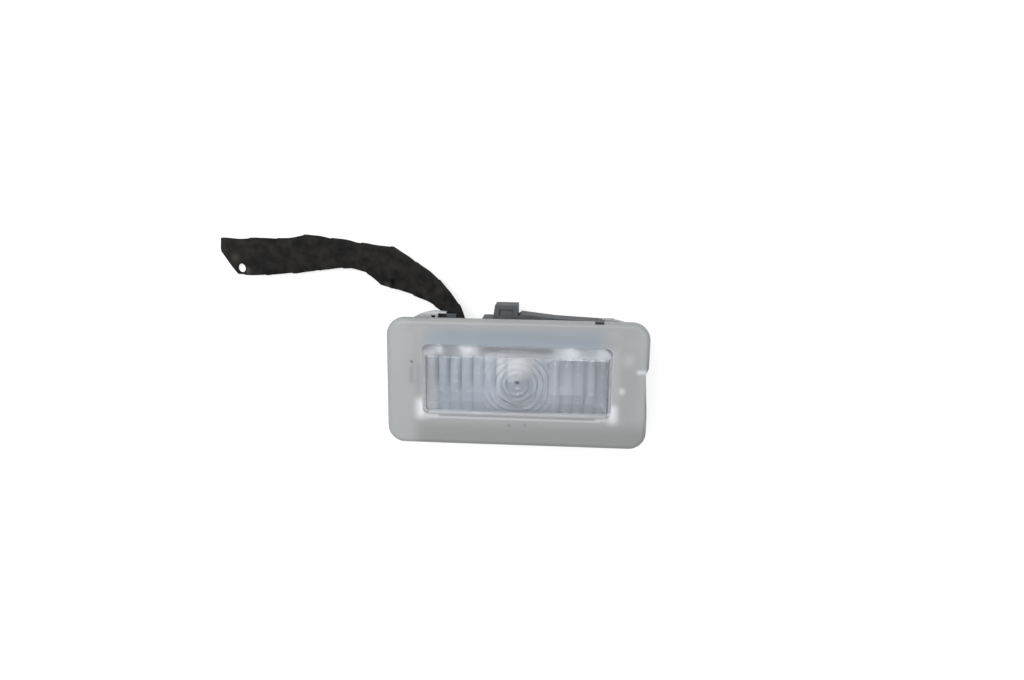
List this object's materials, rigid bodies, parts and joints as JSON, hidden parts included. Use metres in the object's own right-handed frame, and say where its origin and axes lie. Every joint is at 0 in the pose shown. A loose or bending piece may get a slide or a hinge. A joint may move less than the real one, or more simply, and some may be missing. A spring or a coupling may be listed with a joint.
{
  "type": "car interior light",
  "caption": "Snap-in rectangular car interior light with a frosted bezel, clear ribbed window, wedge bulb in a plug-in holder and a short taped wire tail.",
  "frame": {"origin": "middle of the bezel's outline, on the plane of the bezel's back face that seats on the trim", "axes": "+X along the bezel's length, +Y towards the long side where the wires leave, +Z out of the window"},
  "size_m": [0.1287, 0.0562, 0.0206],
  "materials": {
    "clear_polycarbonate": "frosted bezel, clear window",
    "pressed_aluminium": "bright",
    "dark_grey_pbt": "moulded",
    "bulb_glass": "clear",
    "tungsten": "drawn",
    "lead_wire": "drawn",
    "brass_strip": "stamped",
    "wire_insulation": "extruded",
    "cloth_tape": "woven"
  },
  "bodies": {
    "root": {"lens": "clear_polycarbonate", "reflector": "pressed_aluminium", "bulb_holder": "dark_grey_pbt", "cable_clip": "dark_grey_pbt", "bulb_glass": "bulb_glass", "bulb_filament": "tungsten", "bulb_lead_front": "lead_wire", "bulb_lead_rear": "lead_wire", "contact_front": "brass_strip", "contact_rear": "brass_strip", "supply_wire": "wire_insulation", "ground_wire": "wire_insulation", "cable_sleeve": "cloth_tape"}
  },
  "joints": []
}
